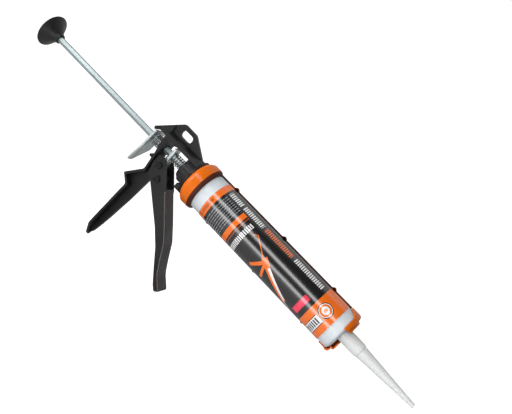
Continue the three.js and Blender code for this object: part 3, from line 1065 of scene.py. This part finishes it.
class SpringPieces(bpy.types.Operator):
    """Winds the main spring and the release lever's spring from round wire"""

    bl_idname = "caulking_gun.spring_pieces"
    bl_label = "Springs"

    def execute(self, context):
        sizes = context.scene.gun_sizes
        main = (sizes.wire, sizes.coils, "drive_slide", DRIVE_STROKE)
        lever = (sizes.lever_wire, sizes.lever_coils, "release_press", LEVER_STROKE)
        self.wind("main_spring", "wound_main_spring", *main)
        self.wind("lever_spring", "wound_lever_spring", *lever)
        return {"FINISHED"}

    def wind(self, node, name, wire, coils, joint, stroke):
        low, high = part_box(node)
        mean_radius = (high.y - low.y - wire) / 2
        steps = coils * STEPS_PER_COIL
        bm = bmesh.new()
        ring = bmesh.ops.create_circle(bm, cap_ends=False, radius=wire / 2, segments=10)["verts"]
        start = barrel_point(low.x + wire / 2, mean_radius)
        bmesh.ops.rotate(bm, verts=ring, cent=(0, 0, 0), matrix=Matrix.Rotation(math.pi / 2, 3, "X"))
        bmesh.ops.translate(bm, verts=ring, vec=start)
        bmesh.ops.spin(
            bm,
            geom=list(bm.verts) + list(bm.edges),
            cent=barrel_point(0, 0),
            axis=(-1, 0, 0),
            dvec=Vector(((high.x - low.x - wire) / steps, 0, 0)),
            angle=FULL_TURN * coils,
            steps=steps,
        )
        bmesh.ops.holes_fill(bm, edges=[e for e in bm.edges if e.is_boundary], sides=0)
        bmesh.ops.recalc_face_normals(bm, faces=bm.faces)
        spring = add_piece(name, bm, "oiled_spring_wire", "frame", [node])
        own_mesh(spring)


class HiddenPieces(bpy.types.Operator):
    """Gives the swivel pieces inside the nose and the bush that guides the rod their finishes"""

    bl_idname = "caulking_gun.hidden_pieces"
    bl_label = "Swivel pieces and guide bush"

    def execute(self, context):
        for node in ("swivel_bush", "swivel_circlip"):
            repaint(node, "oiled_spring_wire")
        repaint("swivel_washer", "zinc_plated_steel")
        repaint("rod_guide_bush", "moulded_black_nylon")
        return {"FINISHED"}


class StageSetup(bpy.types.Operator):
    """Lays the pale floor, hangs the soft lights and places the camera"""

    bl_idname = "caulking_gun.stage_setup"
    bl_label = "Floor, lights and camera"

    def execute(self, context):
        stage = context.scene.gun_stage
        self.floor()
        self.sky(stage)
        self.lights()
        self.camera(context.scene, stage)
        context.scene.view_settings.view_transform = "Standard"
        return {"FINISHED"}

    def floor(self):
        bm = bmesh.new()
        half_width = 6
        bmesh.ops.create_grid(bm, x_segments=1, y_segments=1, size=half_width)
        mesh = bpy.data.meshes.new("floor")
        bm.to_mesh(mesh)
        bm.free()
        material, tree = start_material("white_floor")
        card = add_node(
            tree,
            "ShaderNodeBsdfPrincipled",
            values={
                **clouded(tree, grain(tree, 400, 2), (0.54, 0.54, 0.54), 0.98),
                "Roughness": 0.9,
                "Emission Color": (1, 1, 1, 1),
                "Emission Strength": 0.09,
            },
        )
        lit = add_node(
            tree,
            "ShaderNodeBsdfPrincipled",
            values={
                "Base Color": (0.6, 0.6, 0.6, 1),
                "Roughness": 0.9,
                "Emission Color": (1, 1, 1, 1),
                "Emission Strength": 0.93,
            },
        )
        seen = add_node(tree, "ShaderNodeLightPath", output="Is Camera Ray")
        surface = add_node(tree, "ShaderNodeMixShader", values={0: seen, 1: card, 2: lit})
        add_node(tree, "ShaderNodeOutputMaterial", values={"Surface": surface})
        mesh.materials.append(material)
        floor = bpy.data.objects.new("floor", mesh)
        bpy.context.scene.collection.objects.link(floor)

    def sky(self, stage):
        world = bpy.data.worlds.new("studio")
        bpy.context.scene.world = world
        world.use_nodes = True
        tree = world.node_tree
        tree.nodes.clear()
        seen = add_node(tree, "ShaderNodeLightPath", output="Is Camera Ray")
        direction = add_node(tree, "ShaderNodeTexCoord", output="Generated")
        behind = add_node(tree, "ShaderNodeSeparateXYZ", values={0: direction}, output="Y")
        glow = add_node(
            tree,
            "ShaderNodeMapRange",
            {"interpolation_type": "SMOOTHSTEP"},
            {
                "Value": behind,
                "From Min": -0.2,
                "From Max": 0.7,
                "To Min": stage.sky,
                "To Max": stage.backdrop,
            },
        )
        strength = add_node(tree, "ShaderNodeMapRange", values={"Value": seen, "To Min": glow})
        light = add_node(
            tree, "ShaderNodeBackground", values={"Color": (1, 1, 1, 1), "Strength": strength}
        )
        add_node(tree, "ShaderNodeOutputWorld", values={"Surface": light})

    def lights(self):
        middle = Vector((0.05, 0, AXIS_HEIGHT))
        # Each light: its name, direction from the gun, distance, width and height, and watts.
        rows = [
            ("key_strip", (-0.21, -0.835, 0.509), 1.4, (2.4, 0.34), 13),
            ("low_strip", (0.16, -0.95, -0.23), 0.45, (0.6, 0.13), 1.1),
            ("rear_card", (-1.0, -0.45, -0.05), 0.9, (0.4, 0.9), 7.5),
            ("overhead", (-0.3, 0.15, 1.0), 1.5, (1.6, 0.8), 1.6),
        ]
        for name, direction, distance, (wide, tall), watts in rows:
            lamp = bpy.data.lights.new(name, "AREA")
            lamp.shape = "RECTANGLE"
            lamp.size = wide
            lamp.size_y = tall
            lamp.energy = watts
            holder = bpy.data.objects.new(name, lamp)
            away = Vector(direction).normalized()
            holder.location = middle + away * distance
            holder.rotation_euler = away.to_track_quat("Z", "Y").to_euler()
            holder.visible_camera = False
            bpy.context.scene.collection.objects.link(holder)

    def camera(self, scene, stage):
        data = bpy.data.cameras.new("camera")
        data.sensor_width = 36
        data.lens = stage.lens
        data.clip_start = 0.01
        camera = bpy.data.objects.new("camera", data)
        camera.location = (stage.camera_x, -stage.camera_away, stage.camera_up)
        tilt = Euler((math.pi / 2 - stage.elevation, 0, stage.azimuth)).to_matrix()
        camera.rotation_euler = (tilt @ Matrix.Rotation(stage.roll, 3, "Z")).to_euler()
        scene.collection.objects.link(camera)
        scene.camera = camera


OPERATORS = [
    BodyPieces,
    BarrelPieces,
    CartridgePieces,
    RodPieces,
    SpringPieces,
    HiddenPieces,
    StageSetup,
]


class CaulkingGunPanel(bpy.types.Panel):
    """Lists the gun's operators in the 3D view's sidebar."""

    bl_idname = "VIEW3D_PT_caulking_gun"
    bl_label = "Caulking gun"
    bl_space_type = "VIEW_3D"
    bl_region_type = "UI"
    bl_category = "Caulking gun"

    def draw(self, context):
        for operator in OPERATORS:
            self.layout.operator(operator.bl_idname)
        for group in (context.scene.gun_sizes, context.scene.gun_colours, context.scene.gun_stage):
            box = self.layout.box()
            for name in group.__annotations__:
                box.prop(group, name)


CLASSES = [GunColours, GunSizes, GunStage, *OPERATORS, CaulkingGunPanel]


def register():
    """Registers the classes and hangs the properties on the scene."""
    for cls in CLASSES:
        bpy.utils.register_class(cls)
    bpy.types.Scene.gun_colours = PointerProperty(type=GunColours)
    bpy.types.Scene.gun_sizes = PointerProperty(type=GunSizes)
    bpy.types.Scene.gun_stage = PointerProperty(type=GunStage)


def unregister():
    """Takes the properties and classes away again."""
    del bpy.types.Scene.gun_stage
    del bpy.types.Scene.gun_sizes
    del bpy.types.Scene.gun_colours
    for cls in reversed(CLASSES):
        bpy.utils.unregister_class(cls)


def main():
    register()
    for operator in OPERATORS:
        family, name = operator.bl_idname.split(".")
        getattr(getattr(bpy.ops, family), name)()
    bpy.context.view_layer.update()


if __name__ == "__main__":
    main()
